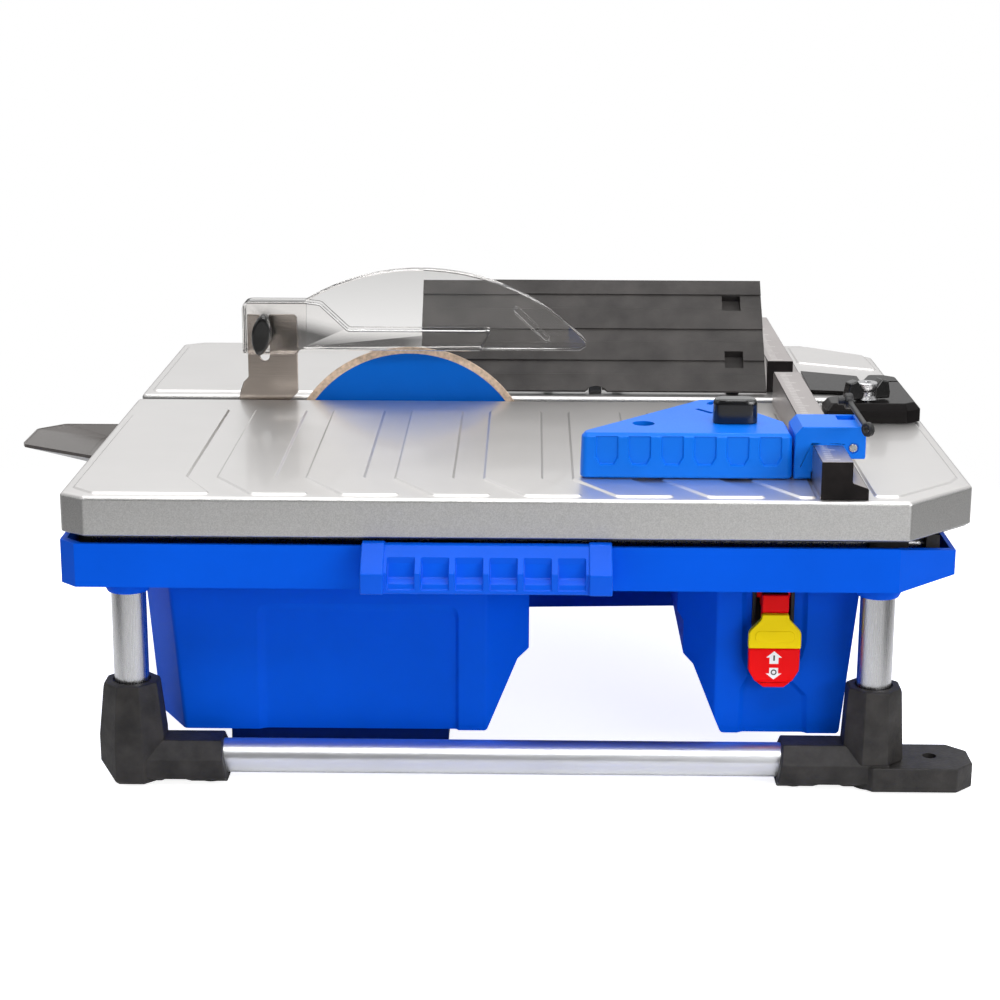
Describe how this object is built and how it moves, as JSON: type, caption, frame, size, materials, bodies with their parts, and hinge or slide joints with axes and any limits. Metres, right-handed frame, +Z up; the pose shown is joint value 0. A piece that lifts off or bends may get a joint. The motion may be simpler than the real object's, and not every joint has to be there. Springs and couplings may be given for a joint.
{
  "type": "wet tile saw",
  "caption": "Table-top wet tile saw with a sliding split table, clear blade guard, fence and angle guide, bevel ramp, water pan and tube frame.",
  "frame": {"origin": "middle of the footprint, on the surface that the feet stand on", "axes": "+Z up, the operator stands at -Y, +X to the operator's right; the table slides along X"},
  "size_m": [0.623, 0.519, 0.2779],
  "materials": {
    "blue_plastic": "moulded, satin",
    "dark_blue_plastic": "moulded, satin",
    "black_plastic": "moulded, fine texture",
    "smoky_plastic": "glossy smoked",
    "stainless": "brushed",
    "steel": "ground",
    "tube_aluminium": "satin drawn tube",
    "black_aluminium": "black anodised",
    "cast_aluminium": "as cast",
    "frame_steel": "black powder coat",
    "blade_blue": "satin paint",
    "diamond_rim": "sintered",
    "clear_plastic": "clear polycarbonate",
    "rubber": "matt",
    "red_plastic": "gloss",
    "yellow_plastic": "gloss",
    "copper_windings": "lacquered wire",
    "green_board": "solder mask"
  },
  "bodies": {
    "base": {"water_pan": "blue_plastic", "pan_handle": "blue_plastic", "motor_housing": "blue_plastic", "housing_base": "dark_blue_plastic", "switch_housing": "blue_plastic", "leg_tubes": "tube_aluminium", "cross_tubes": "tube_aluminium", "left_feet": "black_plastic", "right_feet": "black_plastic", "foot_pads": "rubber", "slide_rods": "steel", "rod_brackets": "black_plastic", "splash_chute": "smoky_plastic", "guard_bracket": "stainless", "motor_can": "steel", "motor_end_bell": "black_plastic", "gear_case": "cast_aluminium", "arbor_bearings": "steel", "switch_frame": "black_plastic", "switch_module": "black_plastic", "controller_board": "green_board", "terminal_block": "black_plastic", "housing_screws": "steel"},
    "table": {"table_near": "stainless", "table_far": "stainless", "table_bridge": "black_plastic", "subframe_beams": "frame_steel", "cross_beam": "frame_steel", "slide_bushings": "black_plastic", "splash_skirt": "rubber", "fence_near": "black_aluminium", "fence_far": "black_aluminium", "fence_screws": "steel", "ramp_hinge_ears": "frame_steel", "ramp_hinge_rods": "steel"},
    "blade": {"blade_core": "blade_blue", "blade_rim": "diamond_rim", "arbor_shaft": "steel", "blade_flanges": "steel", "arbor_nut": "steel", "driven_gear": "steel"},
    "rotor": {"motor_rotor": "copper_windings", "motor_pinion": "steel"},
    "guard": {"guard_near": "clear_plastic", "guard_far": "clear_plastic", "guard_bolt": "steel"},
    "guard_knob": {"guard_knob": "black_plastic"},
    "guide": {"guide_head": "blue_plastic", "guide_arm": "stainless"},
    "guide_block": {"guide_block": "blue_plastic"},
    "guide_knob": {"guide_knob": "black_plastic"},
    "clamp_lever": {"clamp_lever": "frame_steel"},
    "ramp": {"bevel_ramp": "black_plastic"},
    "ramp_stay": {"ramp_stay": "frame_steel"},
    "bridge_lock": {"bridge_lock": "black_plastic"},
    "switch_paddle": {"switch_paddle": "red_plastic"},
    "safety_key": {"safety_key": "yellow_plastic"},
    "battery": {"battery_pack": "black_plastic"},
    "battery_latch": {"battery_latch": "red_plastic"},
    "drain_plug": {"drain_plug": "rubber"}
  },
  "joints": [
    {"name": "table_slide", "type": "slide", "parent": "base", "child": "table", "axis": [1, 0, 0], "range_m": [-0.2, 0]},
    {"name": "blade_spin", "type": "hinge", "parent": "base", "child": "blade", "pos_m": [-0.0435, 0.047, 0.1341], "axis": [0, 1, 0], "continuous": true},
    {"name": "rotor_spin", "type": "hinge", "parent": "base", "child": "rotor", "pos_m": [-0.0435, -0.0875, 0.0981], "axis": [0, 1, 0], "continuous": true},
    {"name": "guard_height", "type": "slide", "parent": "base", "child": "guard", "axis": [0, 0, 1], "range_m": [-0.006, 0.01]},
    {"name": "guard_knob_turn", "type": "hinge", "parent": "guard", "child": "guard_knob", "pos_m": [-0.1455, 0.0305, 0.2336], "axis": [0, 1, 0], "range_deg": [-90, 90]},
    {"name": "guide_slide", "type": "slide", "parent": "table", "child": "guide", "axis": [0, 1, 0], "range_m": [-0.035, 0.095]},
    {"name": "guide_swivel", "type": "hinge", "parent": "guide", "child": "guide_block", "pos_m": [0.1665, -0.1575, 0.2], "axis": [0, 0, 1], "range_deg": [-35, 0]},
    {"name": "guide_knob_turn", "type": "hinge", "parent": "guide_block", "child": "guide_knob", "pos_m": [0.1665, -0.1575, 0.222], "axis": [0, 0, 1], "range_deg": [0, 180]},
    {"name": "clamp_lever_lift", "type": "hinge", "parent": "guide", "child": "clamp_lever", "pos_m": [0.239, -0.1345, 0.224], "axis": [1, 0, 0], "range_deg": [-85, 0]},
    {"name": "ramp_fold", "type": "hinge", "parent": "table", "child": "ramp", "pos_m": [0.0855, 0.0715, 0.192], "axis": [1, 0, 0], "range_deg": [-45, 0]},
    {"name": "stay_fold", "type": "hinge", "parent": "table", "child": "ramp_stay", "pos_m": [0.0795, 0.1155, 0.192], "axis": [1, 0, 0], "range_deg": [-90, 0]},
    {"name": "bridge_lock_turn", "type": "hinge", "parent": "table", "child": "bridge_lock", "pos_m": [0.2681, -0.0165, 0.206], "axis": [0, 0, 1], "range_deg": [0, 90]},
    {"name": "paddle_lift", "type": "hinge", "parent": "base", "child": "switch_paddle", "pos_m": [0.1907, -0.1835, 0.1145], "axis": [1, 0, 0], "range_deg": [-25, 0]},
    {"name": "key_pull", "type": "slide", "parent": "switch_paddle", "child": "safety_key", "axis": [0, -1, 0], "range_m": [0, 0.015]},
    {"name": "battery_slide", "type": "slide", "parent": "base", "child": "battery", "axis": [0, 1, 0], "range_m": [0, 0.12]},
    {"name": "battery_latch_press", "type": "slide", "parent": "battery", "child": "battery_latch", "axis": [0, 0, -1], "range_m": [0, 0.003], "stiffness_N_per_m": 250},
    {"name": "drain_plug_pull", "type": "slide", "parent": "base", "child": "drain_plug", "axis": [-1, 0, 0], "range_m": [0, 0.02]}
  ],
  "couplings": [
    {"joint": "rotor_spin", "follows": "blade_spin", "ratio": -3},
    {"joint": "stay_fold", "follows": "ramp_fold", "ratio": 2}
  ]
}
